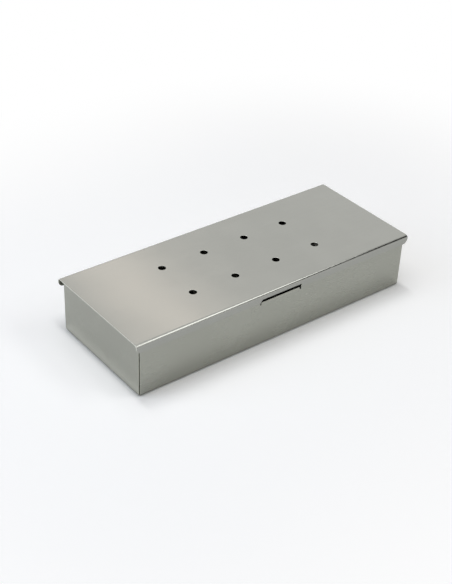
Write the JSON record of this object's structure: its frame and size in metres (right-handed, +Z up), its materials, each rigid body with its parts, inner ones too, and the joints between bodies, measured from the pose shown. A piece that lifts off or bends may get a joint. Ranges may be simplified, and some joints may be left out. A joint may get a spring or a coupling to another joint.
{
  "type": "smoker box",
  "caption": "Long flat box of folded stainless sheet for wood chips on a grill: an open tray with a vented, lipped lid that swings up on rear hinges.",
  "frame": {"origin": "middle of the tray's flat underside", "axes": "+Z up, +X along the box to the right, the front wall and the lid's lift notch at -Y, the hinges at +Y"},
  "size_m": [0.235, 0.0952, 0.042],
  "materials": {
    "tray_steel": "satin brushed stainless sheet",
    "lid_steel": "satin brushed stainless sheet",
    "hinge_steel": "plain rolled stainless strip",
    "pin_steel": "drawn stainless wire"
  },
  "bodies": {
    "tray": {"tray_shell": "tray_steel", "left_hinge_tray_leaf": "hinge_steel", "left_hinge_pin": "pin_steel", "right_hinge_tray_leaf": "hinge_steel", "right_hinge_pin": "pin_steel"},
    "lid": {"lid": "lid_steel", "left_hinge_lid_leaf": "hinge_steel", "right_hinge_lid_leaf": "hinge_steel"}
  },
  "joints": [
    {"name": "lid_hinge", "type": "hinge", "parent": "tray", "child": "lid", "pos_m": [0, 0.04715, 0.03255], "axis": [-1, 0, 0], "range_deg": [0, 180]}
  ]
}
